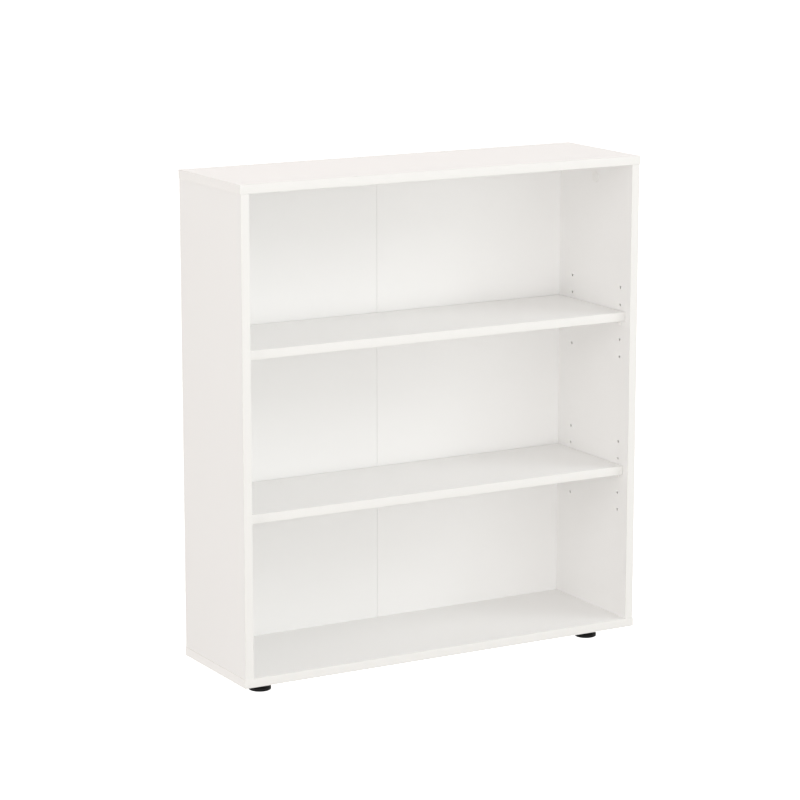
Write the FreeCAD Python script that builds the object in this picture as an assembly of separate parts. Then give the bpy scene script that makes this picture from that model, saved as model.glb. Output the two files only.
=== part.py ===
import FreeCAD, Part
import math
import os

os.makedirs("parts", exist_ok=True)

# Open bookcase of three compartments with two loose shelves, in millimetres.
# X runs to the right, Y from front to rear, Z up; the origin is on the floor, under the middle.

# Case
case_width = 800.0            # over the outer faces of the two side panels
case_depth = 237.0            # front edge to rear edge of the boards
panel_thickness = 16.0        # top, bottom and side panels
panel_overhang = 1.5          # top and bottom panel past each side panel
compartment_height = 270.0    # clear height of each of the three compartments
foot_height = 26.0            # floor to underside of the bottom panel

# Edge bands
band_thickness = 1.0
band_round = 0.6              # rounding of a band's two long outer edges

# Shelves
shelf_thickness = 16.0
shelf_setback = 16.0          # from the case's front edge
shelf_end_gap = 0.5           # between a shelf's end and the side panel
shelf_rear_gap = 1.0          # between a shelf's rear edge and the back

# Shelf holes, in groups around each shelf's support
hole_dia = 5.0
hole_cover = 7.0              # board left behind a hole
hole_pitch = 32.0
free_holes = 2                # above and below the hole in use
front_row_inset = 32.5        # from the case's front edge
rear_row_inset = 44.5         # from the rear edge of the boards

# Shelf supports
support_pin_clearance = 0.1   # on the diameter
support_pin_gap = 1.0         # between the pin's tip and the end of its hole
support_rise = 5.0            # pin axis up to the face that carries the shelf
support_drop = 4.0            # pin axis down to the foot of the leg
support_reach = 9.0           # side panel to the tip of the ledge
support_width = 9.0
support_leg = 2.0             # thickness of the leg against the side panel
support_ledge = 2.4           # thickness of the ledge
support_rib = 2.0             # thickness of the rib in the corner
support_rib_tip = 1.2         # ledge's tip to the rib, and leg's foot to the rib
support_corner = 2.0          # cut of the ledge's two free corners

# Back
back_thickness = 3.0
back_inset = 2.0              # from the outer faces of the case
back_joint_x = -8.0           # place of the upright joint
back_joint_gap = 0.3
back_joint_chamfer = 0.4
tape_width = 40.0
tape_thickness = 0.3
tape_end_inset = 4.0

# Nails of the back
nail_head_dia = 5.0
nail_head_height = 0.8
nail_shank_dia = 1.6
nail_length = 20.0            # under the head
nail_clearance = 0.1          # on the diameter
nails_per_side = 4
nails_per_half = 2            # along the top and the bottom edge of each back half
nail_corner_inset = 60.0      # from the back's corners and from its joint

# Cam locks of the top joints
cam_dia = 15.0
cam_cover = 3.5               # board left behind a cam's hole
cam_hole_clearance = 0.2      # on the diameter
cam_hole_floor = 0.3          # between the cam and the floor of its hole
cam_drop = 34.0               # top of the side panel to the cam's axis
cam_slot_clearance = 0.8      # round the bolt's neck, on the width
cam_pocket_clearance = 0.6    # round the bolt's head
cam_recess_depth = 2.5        # for the cap's spigot
bolt_shank_dia = 7.0
bolt_shank_gap = 0.5          # between the shank and the cam
bolt_neck_dia = 4.6
bolt_head_dia = 7.6
bolt_head_height = 3.0
bolt_thread_dia = 5.0
bolt_cover = 5.0              # board left above the bolt's thread
bolt_hole_clearance = 1.0     # on the diameter, along the side panel
bolt_thread_clearance = 0.1   # on the diameter, in the top panel
cap_lip = 2.5                 # of the cap past the cam, all round
cap_height = 1.5
cap_chamfer = 0.4
cap_spigot_dia = 5.8
cap_spigot_length = 2.0
cap_spigot_clearance = 0.2    # on the diameter

# Dowels of the top joints
dowel_dia = 8.0
dowel_in_side = 23.0          # length that stands in the side panel
dowel_cover = 4.0             # board left above a dowel hole
dowel_clearance = 0.2         # on the diameter
dowel_end_gap = 1.0           # spare depth of each dowel hole
dowel_inset = 45.0            # from the front and rear edges

# Screws of the bottom joints
screw_head_dia = 10.0
screw_head_height = 4.0
screw_shank_dia = 7.0
screw_core_dia = 5.0
screw_in_side = 34.0          # length that stands in the side panel
screw_clearance = 0.2         # on the diameter
screw_sink = 0.5              # head below the underside of the bottom panel
screw_socket_width = 4.0      # hexagon, across flats
screw_socket_depth = 2.5
screw_inset = 45.0            # from the front and rear edges

# Levelling feet
foot_side_inset = 62.0        # foot axis from the end of the bottom panel
foot_edge_inset = 66.0        # foot axis from the front and rear edges
pad_dia = 40.0
pad_rim = 5.0                 # height of the upright rim
pad_height = 12.0
pad_neck_dia = 19.0           # at the top of the pad
pad_chamfer = 1.0             # round the sole
pad_sole = 2.0                # under the swivel's head
swivel_lip = 1.5              # of the swivel's head past its neck
swivel_head_height = 3.0
swivel_clearance = 0.3        # all round the head and the neck
neck_dia = 6.0
collar_width = 14.0           # hexagon, across flats
collar_height = 5.0
collar_gap = 0.6              # above the pad
stem_dia = 10.0
stem_spare = 4.3              # room above the stem, in its socket
stem_chamfer = 1.0
socket_wall = 2.4
socket_end = 1.2              # closed end of the socket
socket_cover = 2.3            # board left above the socket
socket_lip = 4.5              # of the flange past the sleeve
socket_flange = 1.6
socket_clearance = 0.2        # on the diameter and at the end, in the bottom panel
thread_clearance = 0.2        # on the diameter, stem in socket

# Sides of the small round pieces, which are hidden or seen from behind only
pin_sides = 8
nail_sides = 6

# Places worked out from the sizes
half_width = case_width / 2
inner_half = half_width - panel_thickness
side_mid = half_width - panel_thickness / 2
half_panel = half_width + panel_overhang
front = -(case_depth + back_thickness + nail_head_height) / 2
rear = front + case_depth
back_rear = rear + back_thickness
under = foot_height
floor_top = under + panel_thickness
lower_shelf_z = floor_top + compartment_height
upper_shelf_z = lower_shelf_z + shelf_thickness + compartment_height
top_under = upper_shelf_z + shelf_thickness + compartment_height
top_z = top_under + panel_thickness
shelf_levels = {"lower": lower_shelf_z, "upper": upper_shelf_z}
hand = {"left": -1, "right": 1}
hole_depth = panel_thickness - hole_cover
hole_rows = (front + front_row_inset, rear - rear_row_inset)
cam_y = (front + rear) / 2
cam_z = top_under - cam_drop
cam_hole_depth = panel_thickness - cam_cover
dowel_rows = (front + dowel_inset, rear - dowel_inset)
screw_rows = (front + screw_inset, rear - screw_inset)
foot_x = half_panel - foot_side_inset
foot_rows = {"front": front + foot_edge_inset, "rear": rear - foot_edge_inset}
socket_dia = stem_dia + thread_clearance + 2 * socket_wall
socket_depth = panel_thickness - socket_cover - socket_clearance
touch = 1e-6

origin = FreeCAD.Vector(0, 0, 0)
up = FreeCAD.Vector(0, 0, 1)
down = FreeCAD.Vector(0, 0, -1)
to_front = FreeCAD.Vector(0, -1, 0)
to_rear = FreeCAD.Vector(0, 1, 0)


def at(x, y, z):
    return FreeCAD.Vector(x, y, z)


def outward(side):
    return at(side, 0, 0)


def inward(side):
    return at(-side, 0, 0)


def block(x_range, y_range, z_range):
    corners = [sorted(pair) for pair in (x_range, y_range, z_range)]
    size = [high - low for low, high in corners]
    return Part.makeBox(*size, at(*[low for low, high in corners]))


def rod(diameter, length, foot, direction):
    return Part.makeCylinder(diameter / 2, length, foot, direction)


def set_up(solid, place, direction):
    solid.Placement = FreeCAD.Placement(place, FreeCAD.Rotation(up, direction))
    return solid


def outline(points):
    return Part.Face(Part.makePolygon([*points, points[0]]))


def turned(profile):
    """Solid of revolution about Z from (radius, height) points."""
    face = outline([at(radius, 0, height) for radius, height in profile])
    return face.revolve(origin, up, 360)


def prism(sides, diameter, length, foot, direction):
    """Straight piece whose section has its corners on a circle."""
    angles = [2 * math.pi * k / sides for k in range(sides)]
    corners = [at(math.cos(angle), math.sin(angle), 0) * (diameter / 2) for angle in angles]
    return set_up(outline(corners).extrude(at(0, 0, length)), foot, direction)


def pin(diameter, length, foot, direction):
    return prism(pin_sides, diameter, length, foot, direction)


def hexagon(width, length, foot, direction):
    """Hexagon prism, its width measured across the flats."""
    return prism(6, width / math.cos(math.pi / 6), length, foot, direction)


def drilled(solid, holes):
    return solid.cut(Part.makeCompound(holes))


def save(name, *solids):
    shape = solids[0] if len(solids) == 1 else Part.makeCompound(solids)
    shape.exportStep(f"parts/{name}.step")


# Edge bands: strips rounded along the two long edges of their outer face

def edge_band(x_range, y_range, z_range, axis, face):
    strip = block(x_range, y_range, z_range)
    box = strip.BoundBox
    longest = max(box.XLength, box.YLength, box.ZLength)

    def is_outer(edge):
        spot = edge.BoundBox.getPoint(0)[axis], edge.BoundBox.getPoint(6)[axis]
        return all(abs(value - face) < touch for value in spot)

    edges = [edge for edge in strip.Edges if is_outer(edge) and abs(edge.Length - longest) < touch]
    return strip.makeFillet(band_round, edges)


def front_band(x_range, z_range, face):
    return edge_band(x_range, (face, face + band_thickness), z_range, 1, face)


def end_band(side, z_range):
    face = side * half_panel
    x_range = (face, face - side * band_thickness)
    return edge_band(x_range, (front + band_thickness, rear), z_range, 0, face)


def banded_panel(z_range, holes):
    """Core of the top or bottom panel, inside its bands."""
    half_core = half_panel - band_thickness
    core = block((-half_core, half_core), (front + band_thickness, rear), z_range)
    return drilled(core, holes)


# Shelf holes and supports

def support_height(level):
    return level - support_rise


def shelf_holes(side):
    steps = range(-free_holes, free_holes + 1)
    heights = [support_height(level) + step * hole_pitch for level in shelf_levels.values() for step in steps]
    return [rod(hole_dia, hole_depth, at(side * inner_half, y, z), outward(side))
            for z in heights for y in hole_rows]


def shelf_support():
    """Moulded angle against a wall at x = 0, its pin pointing to -X and its ledge to +X."""
    foot = -support_drop
    ledge_under = support_rise - support_ledge
    angle = outline([at(0, 0, foot), at(support_leg, 0, foot), at(support_leg, 0, ledge_under),
                     at(support_reach, 0, ledge_under), at(support_reach, 0, support_rise),
                     at(0, 0, support_rise)])
    body = angle.extrude(at(0, support_width, 0))
    body.translate(at(0, -support_width / 2, 0))
    corners = [edge for edge in body.Edges
               if abs(edge.BoundBox.XMin - support_reach) < touch and edge.BoundBox.ZLength > touch]
    body = body.makeChamfer(support_corner, corners)
    rib = outline([at(0, 0, foot + support_rib_tip), at(support_leg, 0, foot + support_rib_tip),
                   at(support_reach - support_rib_tip, 0, ledge_under), at(0, 0, ledge_under)])
    rib = rib.extrude(at(0, support_rib, 0))
    rib.translate(at(0, -support_rib / 2, 0))
    peg = pin(hole_dia - support_pin_clearance, hole_depth - support_pin_gap, origin, at(-1, 0, 0))
    return body.fuse([rib, peg]).removeSplitter()


def supports_under(level):
    group = []
    for side in hand.values():
        for y in hole_rows:
            support = shelf_support()
            if side > 0:
                support.rotate(origin, up, 180)
            support.translate(at(side * inner_half, y, support_height(level)))
            group.append(support)
    return group


# Back and its nails

def back_half(side):
    """Half of the back, with a chamfer where its front face meets the joint."""
    outer = side * (half_width - back_inset)
    joint = back_joint_x + side * back_joint_gap / 2
    cut = side * back_joint_chamfer
    low = under + back_inset
    section = outline([at(outer, rear, low), at(joint + cut, rear, low),
                       at(joint, rear + back_joint_chamfer, low), at(joint, back_rear, low),
                       at(outer, back_rear, low)])
    return section.extrude(at(0, 0, top_z - back_inset - low))


def spread(first, last, count):
    return [first + (last - first) * k / (count - 1) for k in range(count)]


def nail_spots():
    half_back = half_width - back_inset
    rows = (under + panel_thickness / 2, top_z - panel_thickness / 2)
    spots = []
    for side in hand.values():
        columns = spread(under + back_inset + nail_corner_inset, top_z - back_inset - nail_corner_inset,
                         nails_per_side)
        spots += [(side * side_mid, z) for z in columns]
        along = spread(side * (half_back - nail_corner_inset), back_joint_x + side * nail_corner_inset,
                       nails_per_half)
        spots += [(x, z) for x in along for z in rows]
    return spots


def nail(x, z):
    seat = at(x, back_rear, z)
    head = pin(nail_head_dia, nail_head_height, seat, to_rear)
    return head.fuse(prism(nail_sides, nail_shank_dia, nail_length, seat, to_front))


def nail_hole(x, z):
    return prism(nail_sides, nail_shank_dia + nail_clearance, nail_length, at(x, back_rear, z), to_front)


# Cam locks

def cam_lock(side):
    """Drum with a pocket for the bolt's head, a slot for its neck and a recess for the cap."""
    face = side * inner_half
    out = outward(side)
    drum = rod(cam_dia, cam_hole_depth - cam_hole_floor, at(face, cam_y, cam_z), out)
    pocket_dia = math.hypot(bolt_head_dia, bolt_head_height) + cam_pocket_clearance
    pocket_start = side * (side_mid - bolt_head_dia / 2 - cam_pocket_clearance / 2)
    pocket = rod(pocket_dia, cam_hole_depth, at(pocket_start, cam_y, cam_z), out)
    slot = bolt_neck_dia + cam_slot_clearance
    mouth = block((side * (side_mid - slot / 2), side * half_width), (cam_y - slot / 2, cam_y + slot / 2),
                  (cam_z, cam_z + cam_dia))
    recess = pin(cap_spigot_dia + cap_spigot_clearance, cam_recess_depth, at(face, cam_y, cam_z), out)
    return drilled(drum, [pocket, mouth, recess])


def cam_bolt(side):
    """Thread in the top panel, shank down the side panel, and a head held behind a thin neck."""
    joint = at(side * side_mid, cam_y, top_under)
    head_top = cam_drop - bolt_head_height / 2
    shank = pin(bolt_shank_dia, cam_drop - cam_dia / 2 - bolt_shank_gap, joint, down)
    thread = pin(bolt_thread_dia, panel_thickness - bolt_cover, joint, up)
    neck = pin(bolt_neck_dia, head_top, joint, down)
    head = pin(bolt_head_dia, bolt_head_height, joint - at(0, 0, head_top), down)
    return shank.fuse([thread, neck, head]).removeSplitter()


def cam_cap(side):
    radius = cam_dia / 2 + cap_lip
    disc = turned([(0, 0), (radius, 0), (radius, cap_height - cap_chamfer),
                   (radius - cap_chamfer, cap_height), (0, cap_height)])
    spigot = pin(cap_spigot_dia, cap_spigot_length, origin, down)
    return set_up(disc.fuse(spigot), at(side * inner_half, cam_y, cam_z), inward(side))


# Dowels and bottom screws

def dowel(x, y):
    in_panel = panel_thickness - dowel_cover - dowel_end_gap
    return pin(dowel_dia, in_panel + dowel_in_side, at(x, y, top_under + in_panel), down)


def dowel_hole(x, y, direction, length):
    return pin(dowel_dia + dowel_clearance, length, at(x, y, top_under), direction)


def bottom_screw(x, y):
    """Screw with a sunk round head, a shank in the bottom panel and a core in the side panel."""
    seat = at(x, y, under + screw_sink)
    head = pin(screw_head_dia, screw_head_height, seat, up)
    shank = pin(screw_shank_dia, panel_thickness - screw_sink, seat, up)
    core = pin(screw_core_dia, panel_thickness - screw_sink + screw_in_side, seat, up)
    screw = head.fuse([shank, core]).removeSplitter()
    return screw.cut(hexagon(screw_socket_width, screw_socket_depth, seat, up))


def screw_hole(x, y):
    way_in = pin(screw_head_dia + screw_clearance, screw_sink + screw_head_height, at(x, y, under), up)
    shank = pin(screw_shank_dia + screw_clearance, panel_thickness, at(x, y, under), up)
    core = pin(screw_core_dia + screw_clearance, screw_in_side, at(x, y, floor_top), up)
    return way_in.fuse([shank, core])


# Levelling feet

def turning_room(diameter):
    """Width over the corners of a hole in which a pin of this diameter turns clear of the flats."""
    return (diameter + 2 * swivel_clearance) / math.cos(math.pi / pin_sides)


def foot_pad(x, y):
    """Pad with an undercut pocket that holds the swivel's head, open upwards round its neck."""
    radius, neck = pad_dia / 2, pad_neck_dia / 2
    pad = turned([(0, 0), (radius - pad_chamfer, 0), (radius, pad_chamfer), (radius, pad_rim),
                  (neck, pad_height), (0, pad_height)])
    pad.translate(at(x, y, 0))
    throat = pin(turning_room(neck_dia), pad_height, at(x, y, pad_sole), up)
    pocket = pin(turning_room(neck_dia + 2 * swivel_lip), swivel_head_height + 2 * swivel_clearance,
                 at(x, y, pad_sole), up)
    return drilled(pad, [throat, pocket])


def foot_stem(x, y):
    """Swivel head and neck, hexagon collar and threaded rod, as one piece."""
    head_foot = pad_sole + swivel_clearance
    collar_foot = pad_height + collar_gap
    rod_top = under + socket_depth - socket_end - stem_spare
    radius = stem_dia / 2
    stem = turned([(0, collar_foot), (radius, collar_foot), (radius, rod_top - stem_chamfer),
                   (radius - stem_chamfer, rod_top), (0, rod_top)])
    stem.translate(at(x, y, 0))
    head = pin(neck_dia + 2 * swivel_lip, swivel_head_height, at(x, y, head_foot), up)
    neck = pin(neck_dia, collar_foot - head_foot, at(x, y, head_foot), up)
    collar = hexagon(collar_width, collar_height, at(x, y, collar_foot), up)
    return stem.fuse([head, neck, collar]).removeSplitter()


def foot_socket(x, y):
    """Flanged insert with a blind bore for the stem."""
    foot = at(x, y, under - socket_flange)
    flange = rod(socket_dia + 2 * socket_lip, socket_flange, foot, up)
    sleeve = pin(socket_dia, socket_depth, at(x, y, under), up)
    bore = rod(stem_dia + thread_clearance, socket_flange + socket_depth - socket_end, foot, up)
    return flange.fuse(sleeve).cut(bore)


def socket_hole(x, y):
    return pin(socket_dia + socket_clearance, socket_depth + socket_clearance, at(x, y, under), up)


# Build and write every piece

nails = nail_spots()
nail_holes = [nail_hole(x, z) for x, z in nails]
feet = {f"{row}_{name}": (side * foot_x, y) for row, y in foot_rows.items() for name, side in hand.items()}
joints = [side * side_mid for side in hand.values()]
screw_spots = [(x, y) for x in joints for y in screw_rows]
dowel_spots = [(x, y) for x in joints for y in dowel_rows]
screw_holes = [screw_hole(x, y) for x, y in screw_spots]

thread_holes = [pin(bolt_thread_dia + bolt_thread_clearance, panel_thickness - bolt_cover,
                    at(x, cam_y, top_under), up) for x in joints]
top_holes = nail_holes + thread_holes
top_holes += [dowel_hole(x, y, up, panel_thickness - dowel_cover) for x, y in dowel_spots]
bottom_holes = nail_holes + screw_holes + [socket_hole(x, y) for x, y in feet.values()]
levels = {"top_panel": ((top_under, top_z), top_holes), "bottom_panel": ((under, floor_top), bottom_holes)}
for name, (z_range, holes) in levels.items():
    save(name, banded_panel(z_range, holes))
    save(f"{name}_front_band", front_band((-half_panel, half_panel), z_range, front))
    save(f"{name}_end_bands", *[end_band(side, z_range) for side in hand.values()])

for name, side in hand.items():
    faces = (side * inner_half, side * half_width)
    cam_hole = rod(cam_dia + cam_hole_clearance, cam_hole_depth, at(faces[0], cam_y, cam_z), outward(side))
    bolt_hole = pin(bolt_shank_dia + bolt_hole_clearance, cam_drop,
                    at(side * side_mid, cam_y, top_under), down)
    holes = [*nail_holes, *screw_holes, *shelf_holes(side), cam_hole, bolt_hole]
    holes += [dowel_hole(x, y, down, dowel_in_side + dowel_end_gap) for x, y in dowel_spots]
    core = block(faces, (front + band_thickness, rear), (floor_top, top_under))
    save(f"{name}_side_panel", drilled(core, holes))
    save(f"{name}_side_front_band", front_band(sorted(faces), (floor_top, top_under), front))

shelf_span = (shelf_end_gap - inner_half, inner_half - shelf_end_gap)
shelf_front = front + shelf_setback
for name, level in shelf_levels.items():
    z_range = (level, level + shelf_thickness)
    save(f"{name}_shelf", block(shelf_span, (shelf_front + band_thickness, rear - shelf_rear_gap), z_range))
    save(f"{name}_shelf_front_band", front_band(shelf_span, z_range, shelf_front))
    save(f"{name}_shelf_supports", *supports_under(level))

for name, side in hand.items():
    save(f"back_panel_{name}", drilled(back_half(side), nail_holes))
tape_ends = (under + back_inset + tape_end_inset, top_z - back_inset - tape_end_inset)
save("back_fold_tape", block((back_joint_x - tape_width / 2, back_joint_x + tape_width / 2),
                             (back_rear, back_rear + tape_thickness), tape_ends))
save("back_panel_nails", *[nail(x, z) for x, z in nails])

save("cam_locks", *[cam_lock(side) for side in hand.values()])
save("cam_bolts", *[cam_bolt(side) for side in hand.values()])
save("cam_cover_caps", *[cam_cap(side) for side in hand.values()])
save("top_dowels", *[dowel(x, y) for x, y in dowel_spots])
save("bottom_screws", *[bottom_screw(x, y) for x, y in screw_spots])

save("foot_sockets", *[foot_socket(x, y) for x, y in feet.values()])
for name, (x, y) in feet.items():
    save(f"{name}_foot_pad", foot_pad(x, y))
    save(f"{name}_foot_stem", foot_stem(x, y))
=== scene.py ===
import math

import bmesh
import bpy
from mathutils import Matrix, Vector


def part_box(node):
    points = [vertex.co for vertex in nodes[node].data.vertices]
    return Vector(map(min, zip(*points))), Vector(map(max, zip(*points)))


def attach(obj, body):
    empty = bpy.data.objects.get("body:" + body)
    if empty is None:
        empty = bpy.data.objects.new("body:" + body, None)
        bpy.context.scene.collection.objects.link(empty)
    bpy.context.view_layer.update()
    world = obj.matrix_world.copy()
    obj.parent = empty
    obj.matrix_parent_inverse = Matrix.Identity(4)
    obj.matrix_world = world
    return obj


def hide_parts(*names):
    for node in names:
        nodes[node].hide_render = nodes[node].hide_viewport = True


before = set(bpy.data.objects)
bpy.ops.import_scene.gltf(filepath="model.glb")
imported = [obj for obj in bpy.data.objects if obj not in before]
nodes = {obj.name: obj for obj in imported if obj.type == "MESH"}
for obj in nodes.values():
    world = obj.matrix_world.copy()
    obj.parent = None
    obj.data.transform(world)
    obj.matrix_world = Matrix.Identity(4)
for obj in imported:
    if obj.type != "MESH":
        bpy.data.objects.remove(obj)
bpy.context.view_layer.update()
scene = bpy.context.scene
mm = 0.001
weld = 1e-6
smoothTo = math.radians(32)
sides = {"left": -1, "right": 1}
print("frame loaded:", len(nodes), "nodes")


class Sock:  # an output socket that takes Python maths
    def __init__(self, finish, socket):
        self.finish, self.socket = finish, socket

    def math(self, operation, *values):
        return self.finish.add("Math", {"operation": operation}, dict(enumerate(values)))

    def __add__(self, other):
        return self.math("ADD", self, other)

    def __radd__(self, other):
        return self.math("ADD", other, self)

    def __sub__(self, other):
        return self.math("SUBTRACT", self, other)

    def __rsub__(self, other):
        return self.math("SUBTRACT", other, self)

    def __mul__(self, other):
        return self.math("MULTIPLY", self, other)

    def __rmul__(self, other):
        return self.math("MULTIPLY", other, self)

    def __abs__(self):
        return self.math("ABSOLUTE", self)

    def __gt__(self, other):
        return self.math("GREATER_THAN", self, other)

    def __lt__(self, other):
        return self.math("LESS_THAN", self, other)


class Finish:  # one material, its shader and the nodes behind it
    def __init__(self, name):
        self.material = bpy.data.materials.new(name)
        self.material.use_nodes = True
        self.tree = self.material.node_tree
        self.shader = self.tree.nodes["Principled BSDF"]

    def add(self, kind, settings=None, inputs=None, out=0):
        node = self.tree.nodes.new("ShaderNode" + kind)
        for key, value in (settings or {}).items():
            if key == "stops":
                ramp = node.color_ramp.elements
                while len(ramp) < len(value):
                    ramp.new(0.5)
                for stop, (position, colour) in zip(ramp, value):
                    stop.position, stop.color = position, (*colour, 1)
            else:
                setattr(node, key, value)
        self.feed(inputs or {}, node)
        return Sock(self, node.outputs[out])

    def feed(self, inputs, node=None):
        node = node or self.shader
        for key, value in inputs.items():
            if isinstance(value, Sock):
                self.tree.links.new(value.socket, node.inputs[key])
            else:
                node.inputs[key].default_value = value

    def place(self, stretch=(1, 1, 1)):  # Object coordinates, squeezed along each axis
        spot = self.add("TexCoord", out="Object")
        return self.add("Mapping", None, {"Vector": spot, "Scale": stretch})

    def along(self, axis):
        return self.add("SeparateXYZ", None, {0: self.add("TexCoord", out="Object")}, axis)

    def noise(self, scale, detail=2.0, rough=0.5, stretch=(1, 1, 1)):
        inputs = {"Vector": self.place(stretch), "Scale": scale, "Detail": detail, "Roughness": rough}
        return self.add("TexNoise", None, inputs, "Fac")

    def cells(self, scale, stretch=(1, 1, 1)):
        return self.add("TexVoronoi", None, {"Vector": self.place(stretch), "Scale": scale}, "Color")

    def ramp(self, value, stops):
        return self.add("ValToRGB", {"stops": stops}, {0: value})

    def blend(self, share, first, second):  # colours only
        colours = [c if isinstance(c, Sock) else (*c, 1) for c in (first, second)]
        inputs = {0: share, 6: colours[0], 7: colours[1]}
        return self.add("Mix", {"data_type": "RGBA"}, inputs, 2)

    def bump(self, height, strength, distance):
        inputs = {"Height": height, "Strength": strength, "Distance": distance}
        self.feed({"Normal": self.add("Bump", None, inputs)})

    def cover(self, node):  # finishes a CAD mesh as it is
        nodes[node].data.materials.clear()
        nodes[node].data.materials.append(self.material)


# Boards: white melamine faces, pale drilled holes and a chipboard core that shows at the raw rear edges
boardLook = {
    "white": (0.901, 0.895, 0.882), "offWhite": (0.890, 0.884, 0.871), "cloud": 7, "pearl": 1300,
    "rough": 0.44, "roughSwing": 0.10, "gloss": 0.36, "bump": 0.35, "depth": 0.00006,
    "skin": 0.15 * mm, "coreRough": 0.92, "coreRelief": 6,
    "flake": 520, "flakeSquash": 2.2, "dust": 2600, "dustShare": 0.5, "dustTone": (0.54, 0.47, 0.38),
    "bore": (0.81, 0.802, 0.788), "boreShade": (0.74, 0.73, 0.713),
    "chips": ((0.0, (0.37, 0.31, 0.24)), (0.35, (0.54, 0.47, 0.38)), (0.7, (0.67, 0.60, 0.50)),
              (1.0, (0.77, 0.71, 0.62))),
}


def chipboard(finish, flat):
    look = boardLook
    stretch = [look["flakeSquash"] if axis == flat else 1 for axis in "XYZ"]  # flakes lie flat in the board
    flakes = finish.ramp(finish.cells(look["flake"], stretch), look["chips"])
    dust = finish.noise(look["dust"], 3)
    return finish.blend(dust * look["dustShare"], flakes, look["dustTone"])


def melamineBoard(node, flat, wrapped=False):  # a wrapped board is white on its edges too
    look = boardLook
    finish = Finish(node + "_melamine")
    pearl = relief = finish.noise(look["pearl"], 2)
    colour = finish.blend(finish.noise(look["cloud"], 1), look["white"], look["offWhite"])
    sheen = look["rough"] + look["roughSwing"] * pearl
    if not wrapped:
        low, high = (corner["XYZ".index(flat)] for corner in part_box(node))
        core = abs(finish.along(flat) - (low + high) / 2) < (high - low) / 2 - look["skin"]
        rawEdge = finish.along("Y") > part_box(node)[1].y - look["skin"]
        bore = finish.blend(finish.noise(look["dust"], 3), look["bore"], look["boreShade"])
        colour = finish.blend(core, colour, finish.blend(rawEdge, bore, chipboard(finish, flat)))
        sheen = sheen + core * (look["coreRough"] - sheen)
        relief = pearl + core * finish.noise(look["flake"], 4) * look["coreRelief"]
    finish.feed({"Base Color": colour, "Roughness": sheen, "Specular IOR Level": look["gloss"]})
    finish.bump(relief, look["bump"], look["depth"])
    finish.cover(node)


for node in ("top_panel", "bottom_panel"):
    melamineBoard(node, "Z")
for node in ("lower_shelf", "upper_shelf"):
    melamineBoard(node, "Z", wrapped=True)
for node in ("left_side_panel", "right_side_panel"):
    melamineBoard(node, "X")
print("boards finished")


# Back: white lacquer in front, bare brown hardboard behind and along the edges
backLook = {
    "white": (0.899, 0.893, 0.879), "rolled": (0.85, 0.835, 0.80), "rolledShare": 0.06, "roll": 420,
    "rough": 0.46, "roughSwing": 0.08, "gloss": 0.4, "bump": 0.4, "depth": 0.00005,
    "lacquer": 0.1 * mm, "lip": 0.6 * mm, "bareRough": 0.8, "bareRelief": 4,
    "fibre": 900, "shred": (1.0, 1.0, 0.22), "fibreShare": 0.75, "cloud": 30,
    "browns": ((0.2, (0.165, 0.095, 0.048)), (0.5, (0.285, 0.178, 0.096)), (0.8, (0.375, 0.25, 0.146))),
}
backJoint = (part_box("back_panel_left")[1].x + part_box("back_panel_right")[0].x) / 2


def hardboard(node):
    look = backLook
    finish = Finish(node + "_hardboard")
    front, rear = (corner.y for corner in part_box(node))
    depth = finish.along("Y")
    lip = (abs(finish.along("X") - backJoint) < look["lip"]) * (depth < rear - look["lip"])
    bare = (depth > front + look["lacquer"]) * (1 - lip)  # the edges in the joint stay white
    roll = finish.noise(look["roll"], 2)
    fibres = finish.noise(look["fibre"], 6, 0.7, look["shred"])
    cloud = finish.noise(look["cloud"], 3)
    brown = finish.ramp(fibres * look["fibreShare"] + cloud * (1 - look["fibreShare"]), look["browns"])
    white = finish.blend(roll * look["rolledShare"], look["white"], look["rolled"])
    sheen = look["rough"] + look["roughSwing"] * roll
    finish.feed({"Base Color": finish.blend(bare, white, brown), "Specular IOR Level": look["gloss"],
                 "Roughness": sheen + bare * (look["bareRough"] - sheen)})
    finish.bump(roll + bare * fibres * look["bareRelief"], look["bump"], look["depth"])
    finish.cover(node)


for side in sides:
    hardboard("back_panel_" + side)
print("back finished")


# Finishes of the new pieces
bandLook = {
    # the front tones are painted shade: a darker copy of the same white edging as the end tones, so the
    # front edges come out less bright under the front light
    "front": ((0.798, 0.789, 0.763), (0.789, 0.780, 0.754)),
    "end": ((0.882, 0.872, 0.853), (0.872, 0.862, 0.843)),
    "glue": (0.66, 0.60, 0.50), "glueLine": 0.1 * mm, "drawn": 90, "squeeze": 24, "drawnRelief": 0.6,
    "grain": 1500, "rough": 0.30, "roughSwing": 0.1, "gloss": 0.5, "bump": 0.3, "depth": 0.00005,
}
plasticLook = {"flow": 160, "flowShare": 0.5, "roughSwing": 0.16, "flowSwing": 0.06, "bump": 0.5}
blackPad = {"light": (0.007, 0.007, 0.0073), "dark": (0.003, 0.003, 0.0032), "rough": 0.42, "gloss": 0.14,
            "grain": 2600, "depth": 0.00007}
whiteClip = {"light": (0.88, 0.87, 0.85), "dark": (0.855, 0.845, 0.823), "rough": 0.36, "gloss": 0.45,
             "grain": 2200, "depth": 0.00004}
metalLook = {"cloud": 260, "scratch": 700, "pull": (1, 1, 0.12), "cloudSwing": 0.2, "scratchSwing": 0.08,
             "bump": 0.25, "depth": 0.00004}
beechLook = {
    "grain": 420, "grainPull": (1, 1, 0.09), "fleck": 1500, "fleckPull": (1, 0.5, 0.25), "fleckFrom": 0.62,
    "fleckShare": 0.55, "fleckTone": (0.43, 0.26, 0.14), "rough": 0.62, "roughSwing": 0.2, "bump": 0.4,
    "depth": 0.0001,
    "woods": ((0.25, (0.60, 0.40, 0.235)), (0.55, (0.70, 0.51, 0.325)), (0.8, (0.76, 0.59, 0.41))),
}
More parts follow.
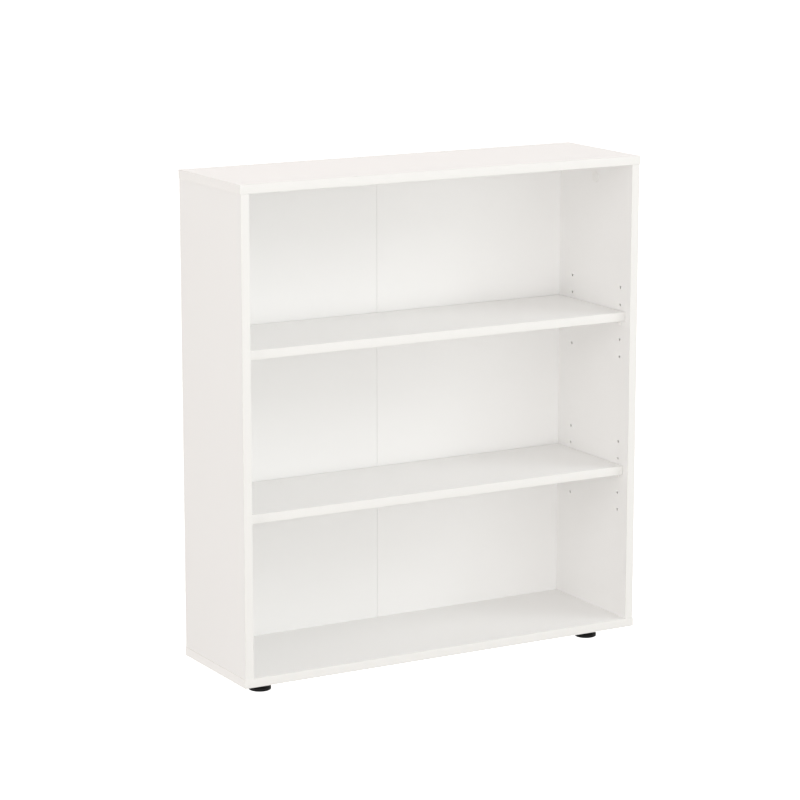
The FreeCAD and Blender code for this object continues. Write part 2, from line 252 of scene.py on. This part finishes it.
tapeLook = {
    "paper": (0.80, 0.77, 0.70), "shade": (0.72, 0.68, 0.60), "stain": (0.70, 0.63, 0.52),
    "stainShare": 0.35, "fibre": 800, "fibrePull": (1, 1, 0.5), "cloud": 18, "rough": 0.7, "roughSwing": 0.2,
    "bump": 0.5, "depth": 0.00008,
}


def bandFinish(name, axis, long, inner, tones):  # plastic edging with a thin glue line against the board
    look = bandLook
    finish = Finish(name)
    glue = abs(finish.along(axis)) < inner + look["glueLine"]
    drawn = finish.noise(look["drawn"], 2, 0.5, [1 if way == long else look["squeeze"] for way in "XYZ"])
    grain = finish.noise(look["grain"], 2)
    finish.feed({"Base Color": finish.blend(glue, finish.blend(drawn, *tones), look["glue"]),
                 "Roughness": look["rough"] + look["roughSwing"] * grain,
                 "Specular IOR Level": look["gloss"]})
    finish.bump(grain + drawn * look["drawnRelief"], look["bump"], look["depth"])
    return finish


def moulded(name, tone):  # spark-eroded plastic
    look = plasticLook
    finish = Finish(name)
    grain = finish.noise(tone["grain"], 3)
    flow = finish.noise(look["flow"], 2, 0.6)
    sheen = tone["rough"] + look["roughSwing"] * (grain - 0.5) + look["flowSwing"] * flow
    mottle = flow * look["flowShare"] + grain * (1 - look["flowShare"])
    finish.feed({"Base Color": finish.blend(mottle, tone["light"], tone["dark"]),
                 "Roughness": sheen, "Specular IOR Level": tone["gloss"]})
    finish.bump(grain, look["bump"], tone["depth"])
    return finish


def plated(name, light, dark, rough):  # metal with a thin cloudy coat
    look = metalLook
    finish = Finish(name)
    cloud = finish.noise(look["cloud"], 4, 0.6)
    scratch = finish.noise(look["scratch"], 3, 0.6, look["pull"])
    finish.feed({"Base Color": finish.blend(cloud, light, dark), "Metallic": 1.0,
                 "Roughness": rough + look["cloudSwing"] * cloud + look["scratchSwing"] * scratch})
    finish.bump(scratch, look["bump"], look["depth"])
    return finish


def beechFinish():
    look = beechLook
    finish = Finish("raw_beech")
    grain = finish.noise(look["grain"], 4, 0.6, look["grainPull"])
    flecks = finish.noise(look["fleck"], 1, 0.4, look["fleckPull"]) > look["fleckFrom"]
    wood = finish.ramp(grain, look["woods"])
    finish.feed({"Base Color": finish.blend(flecks * look["fleckShare"], wood, look["fleckTone"]),
                 "Roughness": look["rough"] + look["roughSwing"] * grain})
    finish.bump(grain, look["bump"], look["depth"])
    return finish


def tapeFinish():
    look = tapeLook
    finish = Finish("paper_tape")
    fibre = finish.noise(look["fibre"], 5, 0.7, look["fibrePull"])
    paper = finish.blend(fibre, look["paper"], look["shade"])
    stain = finish.noise(look["cloud"], 3) * look["stainShare"]
    finish.feed({"Base Color": finish.blend(stain, paper, look["stain"]),
                 "Roughness": look["rough"] + look["roughSwing"] * fibre})
    finish.bump(fibre, look["bump"], look["depth"])
    return finish


blackPlastic = moulded("black_plastic_grain", blackPad)
whitePlastic = moulded("white_plastic_grain", whiteClip)
zincPlate = plated("zinc_plate", (0.74, 0.76, 0.80), (0.60, 0.60, 0.58), 0.22)
zincCast = plated("zinc_casting_skin", (0.60, 0.60, 0.61), (0.44, 0.44, 0.45), 0.36)
brightSteel = plated("bright_wire_steel", (0.60, 0.59, 0.58), (0.45, 0.445, 0.435), 0.24)
rawBeech = beechFinish()
paperTape = tapeFinish()
print("finishes made")


# Modelling helpers
def eased(profile, width, arc=3, reach=0.42):  # rounds the corners of a profile, less where they crowd
    points = [Vector(point) for point in profile]
    curve = [points[0]]
    for before, corner, after in zip(points, points[1:], points[2:]):
        legs = before - corner, after - corner
        trim = min(width, *(reach * leg.length for leg in legs))
        start, end = (corner + leg.normalized() * trim for leg in legs)
        for share in (k / arc for k in range(arc + 1)):
            curve.append(start.lerp(corner, share).lerp(corner.lerp(end, share), share))
    return curve + [points[-1]]


def turned(profile, steps=64, soften=0.0):  # profile of (radius, height) in mm
    bm = bmesh.new()
    if soften:
        profile = eased(profile, soften)
    points = [bm.verts.new((radius * mm, 0, height * mm)) for radius, height in profile]
    edges = [bm.edges.new(pair) for pair in zip(points, points[1:])]
    bmesh.ops.spin(bm, geom=points + edges, cent=(0, 0, 0), axis=(0, 0, 1), dvec=(0, 0, 0),
                   angle=2 * math.pi, steps=steps, use_merge=True)
    bmesh.ops.remove_doubles(bm, verts=bm.verts, dist=weld)
    bmesh.ops.recalc_face_normals(bm, faces=bm.faces)
    return bm


def roundOff(bm, edges, width, segments):
    bmesh.ops.bevel(bm, geom=edges, offset=width * mm, offset_type="OFFSET", segments=segments, profile=0.5,
                    affect="EDGES", clamp_overlap=True, material=-1)


def softenEdges(bm, width, angle=25):
    sharp = [e for e in bm.edges if e.is_manifold and e.calc_face_angle() > math.radians(angle)]
    roundOff(bm, sharp, width, 3)


def newVerts(made):
    return [part for part in made["geom"] if isinstance(part, bmesh.types.BMVert)]


def boxBetween(low, high):
    bm = bmesh.new()
    place = Matrix.Translation((low + high) / 2) @ Matrix.Diagonal((*(high - low), 1))
    bmesh.ops.create_cube(bm, size=1, matrix=place)
    return bm


def prism(outline, length, soften=0.0):  # outline of (x, z) in mm, drawn along Y about its middle
    bm = bmesh.new()
    face = bm.faces.new([bm.verts.new((x * mm, -length / 2 * mm, z * mm)) for x, z in outline])
    grown = newVerts(bmesh.ops.extrude_face_region(bm, geom=[face]))
    bmesh.ops.translate(bm, verts=grown, vec=(0, length * mm, 0))
    bmesh.ops.recalc_face_normals(bm, faces=bm.faces)
    if soften:
        softenEdges(bm, soften)
    return bm


def hexRadius(flats):
    return flats / 2 / math.cos(math.pi / 6) * mm


def hexPrism(flats, low, high, soften):
    bm = bmesh.new()
    bmesh.ops.create_cone(bm, cap_ends=True, segments=6, radius1=hexRadius(flats), radius2=hexRadius(flats),
                          depth=(high - low) * mm, matrix=Matrix.Translation((0, 0, (low + high) / 2 * mm)))
    bmesh.ops.rotate(bm, verts=bm.verts, cent=(0, 0, 0), matrix=Matrix.Rotation(math.pi / 6, 3, "Z"))
    softenEdges(bm, soften)
    return bm


ridge = {"sink": 0.2, "foot": (0.12, 0.88), "crest": (0.40, 0.60)}  # heights as shares of the pitch


def threadRidge(root, crest, pitch, low, high, steps):  # right-hand helix, sizes in mm
    bm = bmesh.new()
    foot, top = ridge["foot"], ridge["crest"]
    section = ((root - ridge["sink"], foot[0]), (root, foot[0]), (crest, top[0]), (crest, top[1]),
               (root, foot[1]), (root - ridge["sink"], foot[1]))
    points = [bm.verts.new((radius * mm, 0, (low + share * pitch) * mm)) for radius, share in section]
    edges = [bm.edges.new(pair) for pair in zip(points, points[1:] + points[:1])]
    count = round(((high - low) / pitch - 1) * steps)
    bmesh.ops.spin(bm, geom=points + edges, cent=(0, 0, 0), axis=(0, 0, 1), dvec=(0, 0, pitch / steps * mm),
                   angle=2 * math.pi * count / steps, steps=count)
    bmesh.ops.holes_fill(bm, edges=[e for e in bm.edges if e.is_boundary], sides=0)
    bmesh.ops.recalc_face_normals(bm, faces=bm.faces)
    return bm


def gather(bm, part, place=Matrix()):  # moves a part into a piece
    mesh = bpy.data.meshes.new("part")
    part.transform(place)
    part.to_mesh(mesh)
    part.free()
    bm.from_mesh(mesh)
    bpy.data.meshes.remove(mesh)


def finishPiece(name, bm, finish, body, replaced):
    mesh = bpy.data.meshes.new(name)
    bm.to_mesh(mesh)
    bm.free()
    mesh.polygons.foreach_set("use_smooth", [True] * len(mesh.polygons))
    mesh.set_sharp_from_angle(angle=smoothTo)
    mesh.materials.append(finish.material)
    piece = bpy.data.objects.new(name, mesh)
    scene.collection.objects.link(piece)
    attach(piece, body)
    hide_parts(replaced)


def centre(node):
    low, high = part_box(node)
    return (low + high) / 2


def longWay(low, high):
    return max("XYZ", key=lambda way: (high - low)["XYZ".index(way)])


# Edge bands: strips with rounded outer edges
band = {"thick": 1.0, "round": 0.6, "steps": 4}
bandBodies = {"top_panel": "case", "bottom_panel": "case", "left_side": "case", "right_side": "case",
              "lower_shelf": "lower_shelf_body", "upper_shelf": "upper_shelf_body"}


def bandStrip(low, high, outward):
    bm = boxBetween(low, high)
    middle, long = (low + high) / 2, "XYZ".index(longWay(low, high))
    outer = [e for e in bm.edges if all((v.co - middle).dot(outward) > 0 for v in e.verts)]
    rim = [e for e in outer if abs(e.verts[0].co[long] - e.verts[1].co[long]) > weld]
    roundOff(bm, rim, band["round"], band["steps"])
    return bm


for board, body in bandBodies.items():
    node = board + "_front_band"
    low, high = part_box(node)
    # the front edging's tones carry painted shade, darker than the end edging of the same plastic
    finish = bandFinish(board + "_front_edging", "Y", longWay(low, high), abs(high.y), bandLook["front"])
    strip = bandStrip(low, high, Vector((0, -1, 0)))
    finishPiece(board + "_front_edge", strip, finish, body, node)
for board in ("top_panel", "bottom_panel"):
    node = board + "_end_bands"
    low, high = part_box(node)
    inner = high.x - band["thick"] * mm
    bm = bmesh.new()
    gather(bm, bandStrip(Vector((inner, low.y, low.z)), high, Vector((1, 0, 0))))
    gather(bm, bandStrip(low, Vector((-inner, high.y, high.z)), Vector((-1, 0, 0))))
    finish = bandFinish(board + "_end_edging", "X", "Y", inner, bandLook["end"])
    finishPiece(board + "_end_edges", bm, finish, "case", node)
print("edge bands made")


# Shelf supports: moulded angle with a rib and a pin
support = {"leg": 2.0, "ledge": 2.4, "reach": 9.0, "width": 9.0, "rise": 5.0, "drop": 4.0, "corner": 2.0,
           "cornerSteps": 6, "soft": 0.4, "softFrom": 50, "rib": 2.0, "ribTip": 1.2, "ribBack": 0.4,
           "ribSink": 0.8, "ribSoft": 0.3, "pinRadius": 2.45, "pinLength": 8.0, "pinSink": 0.6,
           "pinTip": (0.8, 0.9), "pinSoft": 0.15, "pinSteps": 32}


def shelfSupport():
    s = support
    foot, under, reach, top = -s["drop"], s["rise"] - s["ledge"], s["reach"], s["rise"]
    body = prism(((0, foot), (s["leg"], foot), (s["leg"], under), (reach, under), (reach, top), (0, top)),
                 s["width"])
    tips = [e for e in body.edges if all(abs(v.co.x - reach * mm) < weld for v in e.verts)
            and abs(e.verts[0].co.z - e.verts[1].co.z) > weld]
    roundOff(body, tips, s["corner"], s["cornerSteps"])
    softenEdges(body, s["soft"], s["softFrom"])
    back, ribTop = s["ribBack"], under + s["ribSink"]
    ribFoot, ribTip = foot + s["ribTip"], reach - s["ribTip"]
    rib = prism(((back, ribFoot), (s["leg"], ribFoot), (ribTip, under), (ribTip, ribTop), (back, ribTop)),
                s["rib"], s["ribSoft"])
    radius, sunk, end = s["pinRadius"], s["pinSink"], -s["pinLength"]
    inset, taper = s["pinTip"]
    pin = turned(((0, sunk), (radius, sunk), (radius, end + taper), (radius - inset, end), (0, end)),
                 s["pinSteps"], s["pinSoft"])
    gather(body, rib)
    gather(body, pin, Matrix.Rotation(math.pi / 2, 4, "Y"))
    return body


for shelf in ("lower", "upper"):
    node = shelf + "_shelf_supports"
    low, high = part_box(node)
    pinHeight = high.z - support["rise"] * mm
    rows = (low.y + support["width"] / 2 * mm, high.y - support["width"] / 2 * mm)
    inner = high.x - support["pinLength"] * mm
    bm = bmesh.new()
    for side in sides.values():
        turn = Matrix.Rotation(math.pi if side > 0 else 0, 4, "Z")
        for y in rows:
            gather(bm, shelfSupport(), Matrix.Translation((side * inner, y, pinHeight)) @ turn)
    finishPiece(shelf + "_shelf_angles", bm, whitePlastic, "case", node)
print("shelf supports made")


# Cam joint: cover cap, cam drum and bolt
cap = {"radius": 10.0, "height": 1.5, "spigot": 2.9, "length": 2.0, "ease": 0.4, "steps": 72,
       "crown": ((5, 0.01), (0.8, 0.06), (0.25, 0.14), (0.07, 0.3), (0, 0.5))}  # in from rim, down from top
camBolt = {"shank": 3.5, "neck": 2.3, "head": 3.8, "thread": 2.5, "core": 1.9, "pitch": 2.4,
           "engaged": 11.0, "shankEnd": 26.0, "shoulder": 1.0, "headTop": 32.5, "headEnd": 35.5,
           "rim": (0.5, 0.6), "tip": (0.9, 0.6), "soft": 0.12, "steps": 32, "threadFrom": 0.3,
           "threadSteps": 20}
toSide = {-1: Matrix.Rotation(math.pi / 2, 4, "Y"), 1: Matrix.Rotation(-math.pi / 2, 4, "Y")}


def camCap():
    radius, top, foot = cap["radius"], cap["height"], -cap["length"]
    spigot, ease = cap["spigot"], cap["ease"]
    crown = [(radius - inset, top - drop) for inset, drop in cap["crown"]]
    return turned([(0, top), *crown, (radius, 0), (spigot, 0), (spigot, foot + ease), (spigot - ease, foot),
                   (0, foot)], cap["steps"])


def camStud():
    b = camBolt
    head, top, end = b["head"], -b["headTop"], -b["headEnd"]
    (rimIn, rimDown), (tipIn, tipUp) = b["rim"], b["tip"]
    bm = turned(((0, b["engaged"]), (b["core"], b["engaged"]), (b["core"], 0), (b["shank"], 0),
                 (b["shank"], b["shoulder"] - b["shankEnd"]), (b["neck"], -b["shankEnd"]), (b["neck"], top),
                 (head - rimIn, top), (head, top - rimDown), (head, end + tipUp), (head - tipIn, end),
                 (0, end)), b["steps"], b["soft"])
    gather(bm, threadRidge(b["core"], b["thread"], b["pitch"], b["threadFrom"], b["engaged"],
                           b["threadSteps"]))
    return bm


bm = bmesh.new()
heart = centre("cam_cover_caps")
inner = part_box("cam_cover_caps")[1].x - cap["length"] * mm
for side in sides.values():
    gather(bm, camCap(), Matrix.Translation((side * inner, heart.y, heart.z)) @ toSide[side])
finishPiece("cam_caps", bm, whitePlastic, "case", "cam_cover_caps")

bm = bmesh.new()
low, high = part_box("cam_bolts")
joint = high.z - camBolt["engaged"] * mm
reach = high.x - camBolt["head"] * mm
for side in sides.values():
    gather(bm, camStud(), Matrix.Translation((side * reach, (low.y + high.y) / 2, joint)))
finishPiece("cam_studs", bm, zincPlate, "case", "cam_bolts")

zincCast.cover("cam_locks")
print("cam joints made")


# Dowels of the top joints, fluted
dowel = {"radius": 4.0, "flute": 0.3, "flutes": 18, "ease": 0.8}


def flutedDowel(length):
    bm = bmesh.new()
    radius = dowel["radius"] * mm
    ring = bmesh.ops.create_circle(bm, cap_ends=True, segments=2 * dowel["flutes"], radius=radius)
    for vert in ring["verts"][1::2]:
        vert.co.xy *= 1 - dowel["flute"] / dowel["radius"]
    grown = newVerts(bmesh.ops.extrude_face_region(bm, geom=list(bm.faces)))
    bmesh.ops.translate(bm, verts=grown, vec=(0, 0, length))
    bmesh.ops.recalc_face_normals(bm, faces=bm.faces)
    rims = [e for e in bm.edges if e.is_manifold and abs(e.verts[0].co.z - e.verts[1].co.z) < weld]
    roundOff(bm, rims, dowel["ease"], 2)
    return bm


def cornersInside(node, radius):  # axes of four round pieces at the corners of a node's box
    low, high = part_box(node)
    return [(x, y) for x in (low.x + radius * mm, high.x - radius * mm)
            for y in (low.y + radius * mm, high.y - radius * mm)]


bm = bmesh.new()
low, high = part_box("top_dowels")
for x, y in cornersInside("top_dowels", dowel["radius"]):
    gather(bm, flutedDowel(high.z - low.z), Matrix.Translation((x, y, low.z)))
finishPiece("fluted_dowels", bm, rawBeech, "case", "top_dowels")


# Screws from below, with a hexagon socket in the head
screw = {"head": 5.0, "rim": 0.5, "headHeight": 4.0, "shank": 3.5, "shankEnd": 15.5, "shoulder": 0.8,
         "core": 1.95, "thread": 2.5, "pitch": 3.0, "length": 49.5, "point": 3.0, "threadFrom": 0.5,
         "threadTo": 2.0, "socket": 4.0, "socketDepth": 2.5, "steps": 36, "threadSteps": 20}


def boardScrew():
    s = screw
    end, neck = s["length"], s["shankEnd"]
    bm = turned(((0, end), (s["core"], end - s["point"]), (s["core"], neck),
                 (s["shank"], neck - s["shoulder"]), (s["shank"], s["headHeight"]),
                 (s["head"], s["headHeight"]), (s["head"], s["rim"]), (s["head"] - s["rim"], 0)), s["steps"])
    rim = [e for e in bm.edges if e.is_boundary]
    corners = bmesh.ops.create_circle(bm, segments=6, radius=hexRadius(s["socket"]))["verts"]
    mouth = [e for e in bm.edges if all(v in corners for v in e.verts)]
    bmesh.ops.bridge_loops(bm, edges=rim + mouth)
    walls = newVerts(bmesh.ops.extrude_edge_only(bm, edges=mouth))
    bmesh.ops.translate(bm, verts=walls, vec=(0, 0, s["socketDepth"] * mm))
    bmesh.ops.holes_fill(bm, edges=[e for e in bm.edges if e.is_boundary], sides=0)
    bmesh.ops.recalc_face_normals(bm, faces=bm.faces)
    gather(bm, threadRidge(s["core"], s["thread"], s["pitch"], neck + s["threadFrom"], end - s["threadTo"],
                           s["threadSteps"]))
    return bm


bm = bmesh.new()
for x, y in cornersInside("bottom_screws", screw["head"]):
    gather(bm, boardScrew(), Matrix.Translation((x, y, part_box("bottom_screws")[0].z)))
finishPiece("bottom_board_screws", bm, zincPlate, "case", "bottom_screws")
print("dowels and screws made")


# Nails of the back and the tape over its joint
nail = {"head": 2.5, "rise": 0.8, "crown": ((1.0, 0.04), (0.3, 0.22), (0, 0.45)), "seat": 0.1, "shank": 0.8,
        "length": 20.0, "point": 2.2, "steps": 28, "inset": 60.0, "perSide": 4, "perHalf": 2}
tape = {"crease": 1.2, "dip": 0.18, "ease": 0.12}


def backNail():
    n = nail
    crown = [(n["head"] - inset, n["rise"] - drop) for inset, drop in n["crown"]]
    return turned([(0, n["rise"]), *crown, (n["head"] - n["seat"], 0), (n["shank"], 0),
                   (n["shank"], n["point"] - n["length"]), (0, -n["length"])], n["steps"])


def spread(first, last, count):
    return [first + (last - first) * k / (count - 1) for k in range(count)]


def nailSpots():
    inset = nail["inset"] * mm
    rows = centre("bottom_panel").z, centre("top_panel").z
    spots = []
    for name, side in sides.items():
        low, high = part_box("back_panel_" + name)
        outer = high.x if side > 0 else low.x
        column = centre(name + "_side_panel").x
        spots += [(column, z) for z in spread(low.z + inset, high.z - inset, nail["perSide"])]
        along = spread(outer - side * inset, backJoint + side * inset, nail["perHalf"])
        spots += [(x, z) for x in along for z in rows]
    return spots


bm = bmesh.new()
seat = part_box("back_panel_nails")[1].y - nail["rise"] * mm
toRear = Matrix.Rotation(-math.pi / 2, 4, "X")
for x, z in nailSpots():
    gather(bm, backNail(), Matrix.Translation((x, seat, z)) @ toRear)
finishPiece("back_nails", bm, brightSteel, "case", "back_panel_nails")

low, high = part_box("back_fold_tape")
bm = boxBetween(low, high)
roundOff(bm, [e for e in bm.edges if all(v.co.y > high.y - weld for v in e.verts)], tape["ease"], 2)
for step in (-1, 0, 1):
    bmesh.ops.bisect_plane(bm, geom=[*bm.verts, *bm.edges, *bm.faces], dist=weld,
                           plane_co=(backJoint + step * tape["crease"] * mm, 0, 0), plane_no=(1, 0, 0))
for vert in bm.verts:
    if abs(vert.co.x - backJoint) < weld and vert.co.y > high.y - weld:
        vert.co.y -= tape["dip"] * mm
finishPiece("back_joint_tape", bm, paperTape, "case", "back_fold_tape")
print("nails and tape made")


# Levelling feet: pad, threaded stem and sunk socket
pad = {"radius": 20.0, "chamfer": 1.0, "rim": 5.0, "height": 12.0, "neck": 9.5, "throat": 3.4,
       "pocket": 4.9, "sole": 2.0, "pocketTop": 5.6, "groove": 0.4, "grooveAt": 2.4,
       "grooveHalf": (0.3, 0.1), "treads": (7.0, 11.0, 15.0), "tread": 0.5, "treadHalf": (0.8, 0.4),
       "soft": 0.5, "steps": 96}
stem = {"head": 4.5, "headLow": 2.3, "headTop": 5.3, "neck": 3.0, "collarLow": 12.6, "collarTop": 17.6,
        "sink": 1.0, "flats": 14.0, "collarSoft": 0.5, "core": 4.1, "crest": 5.0, "pitch": 3.0, "top": 34.0,
        "tip": 1.0, "soft": 0.25, "steps": 48, "threadFrom": 1.5, "threadTo": 0.4, "threadSteps": 36}
socket = {"bore": 5.1, "flange": 12.0, "ease": 0.6, "lip": 1.6, "sleeve": 7.5, "barb": 0.4, "barbs": 4,
          "barbFrom": 1.5, "barbPitch": 2.8, "depth": 13.5, "end": 1.2}


def footPad():
    p = pad
    sole, deep = [(0, 0)], p["tread"]
    mouth, bed = p["treadHalf"]
    for ring in p["treads"]:  # shallow rings that grip the floor
        sole += [(ring - mouth, 0), (ring - bed, deep), (ring + bed, deep), (ring + mouth, 0)]
    radius, middle, inner = p["radius"], p["grooveAt"], p["radius"] - p["groove"]
    mouth, bed = p["grooveHalf"]
    rim = [(radius - p["chamfer"], 0), (radius, p["chamfer"]), (radius, middle - mouth),
           (inner, middle - bed), (inner, middle + bed), (radius, middle + mouth), (radius, p["rim"])]
    crown = [(p["neck"], p["height"]), (p["throat"], p["height"]), (p["throat"], p["pocketTop"]),
             (p["pocket"], p["pocketTop"]), (p["pocket"], p["sole"]), (0, p["sole"])]
    return turned(sole + rim + crown, p["steps"], p["soft"])


def footStem():
    s = stem
    joint = s["collarLow"] + s["sink"]
    bm = turned(((0, s["headLow"]), (s["head"], s["headLow"]), (s["head"], s["headTop"]),
                 (s["neck"], s["headTop"]), (s["neck"], joint), (s["core"], joint),
                 (s["core"], s["top"] - s["tip"]), (s["core"] - s["tip"], s["top"]), (0, s["top"])),
                s["steps"], s["soft"])
    gather(bm, hexPrism(s["flats"], s["collarLow"], s["collarTop"], s["collarSoft"]))
    gather(bm, threadRidge(s["core"], s["crest"], s["pitch"], s["collarTop"] - s["threadFrom"],
                           s["top"] - s["threadTo"], s["threadSteps"]))
    return bm


def footSocket():
    s = socket
    bore, flange, lip, ease = s["bore"], s["flange"], -s["lip"], s["ease"]
    sleeve, root = s["sleeve"], s["sleeve"] - s["barb"]
    barbs = []
    for step in range(s["barbs"]):  # press-in barbs along the sleeve
        foot = s["barbFrom"] + step * s["barbPitch"]
        barbs += [(sleeve, foot), (root, foot + s["barbPitch"])]
    floor = s["depth"] - s["end"]
    return turned([(bore, lip), (flange - ease, lip), (flange, lip + ease), (flange, 0), (sleeve, 0), *barbs,
                   (root, s["depth"]), (0, s["depth"]), (0, floor), (bore, floor), (bore, lip)])


sockets = bmesh.new()
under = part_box("bottom_panel")[0].z
for foot in (row + "_" + side for row in ("front", "rear") for side in sides):
    x, y, _ = centre(foot + "_foot_pad")
    axis = Matrix.Translation((x, y, 0))
    for part, bm in (("pad", footPad()), ("stem", footStem())):
        bm.transform(axis)
        finishPiece(foot + "_" + part, bm, blackPlastic, foot + "_" + part + "_body",
                    foot + "_foot_" + part)
    gather(sockets, footSocket(), Matrix.Translation((x, y, under)))
finishPiece("foot_inserts", sockets, blackPlastic, "case", "foot_sockets")
print("feet made")


# Stage: pale floor, backdrop, soft boxes and the camera
eye = {"place": (-2.6488, -4.6155, 1.5748), "turn": 29.607, "tilt": 11.707, "lens": 136.59, "film": 36,
       "farthest": 200}
studio = {"air": (1.0, 0.963, 0.928), "airPower": 0.62, "floor": (0.9, 0.9, 0.9), "floorRough": 0.9,
          "floorGlow": 0.9, "floorHalf": 40, "wallRadius": 38, "wallHeight": 40, "wallSides": 96}
softBoxes = {
    "front_low_box": {"place": (-1.2, -4.6, 0.9), "size": 1.8, "power": 40.8, "tint": (0.942, 0.97, 1)},
    "front_high_box": {"place": (-0.5, -2.8, 3.4), "size": 2.5, "power": 24.2, "tint": (0.977, 0.974, 1)},
    "wide_right_box": {"place": (2.4, -4.2, 1.4), "size": 3.0, "power": 24.6, "tint": (0.92, 0.99, 1)},
    "right_high_box": {"place": (3.2, -2.2, 3.0), "size": 2.0, "power": 45.8, "tint": (0.921, 0.974, 1)},
    "far_left_box": {"place": (-4.2, -1.2, 1.3), "size": 1.2, "power": 14.9, "tint": (0.998, 0.993, 1)},
    "far_left_low_box": {"place": (-4.0, -2.0, 0.3), "size": 1.2, "power": 22.9, "tint": (1, 0.956, 0.955)},
    "near_left_box": {"place": (-1.7, 0.4, 1.9), "size": 0.8, "power": 2.3, "tint": (1, 0.965, 0.955)},
    "rear_top_box": {"place": (0, 1.3, 3.4), "size": 2.2, "power": 22.2, "tint": (1, 0.91, 0.914)},
}
boxAim = Vector((0, 0, 0.5))

scene.view_settings.view_transform = "Standard"
scene.view_settings.look = "None"
world = bpy.data.worlds.new("studio_air")
scene.world = world
world.use_nodes = True
air = world.node_tree.nodes["Background"]
air.inputs["Color"].default_value = (*studio["air"], 1)
air.inputs["Strength"].default_value = studio["airPower"]

floorFinish = Finish("pale_floor")
floorFinish.feed({"Base Color": (*studio["floor"], 1), "Roughness": studio["floorRough"],
                  "Specular IOR Level": 0.0, "Emission Color": (1, 1, 1, 1),
                  "Emission Strength": studio["floorGlow"]})


def stageSheet(name, bm):
    mesh = bpy.data.meshes.new(name)
    bm.to_mesh(mesh)
    bm.free()
    mesh.materials.append(floorFinish.material)
    sheet = bpy.data.objects.new(name, mesh)
    scene.collection.objects.link(sheet)
    sheet.visible_diffuse = False  # its glow is a backdrop and lights nothing
    return sheet


bm = bmesh.new()
bmesh.ops.create_grid(bm, x_segments=4, y_segments=4, size=studio["floorHalf"])
stageSheet("studio_floor", bm)
bm = bmesh.new()
radius, height = studio["wallRadius"], studio["wallHeight"]
bmesh.ops.create_cone(bm, cap_ends=False, segments=studio["wallSides"], radius1=radius, radius2=radius,
                      depth=height, matrix=Matrix.Translation((0, 0, height / 2)))
wall = stageSheet("studio_wall", bm)
wall.visible_glossy = wall.visible_shadow = False

for name, box in softBoxes.items():
    light = bpy.data.lights.new(name, "AREA")
    light.shape, light.size, light.energy, light.color = "SQUARE", box["size"], box["power"], box["tint"]
    lamp = bpy.data.objects.new(name, light)
    lamp.location = box["place"]
    lamp.rotation_euler = (boxAim - lamp.location).to_track_quat("-Z", "Y").to_euler()
    lamp.visible_camera = False
    scene.collection.objects.link(lamp)

lens = bpy.data.cameras.new("eye")
lens.lens, lens.sensor_width, lens.clip_end = eye["lens"], eye["film"], eye["farthest"]
camera = bpy.data.objects.new("eye", lens)
camera.location = eye["place"]
camera.rotation_euler = (math.radians(90 - eye["tilt"]), 0, math.radians(-eye["turn"]))
scene.collection.objects.link(camera)
scene.camera = camera
print("stage set")
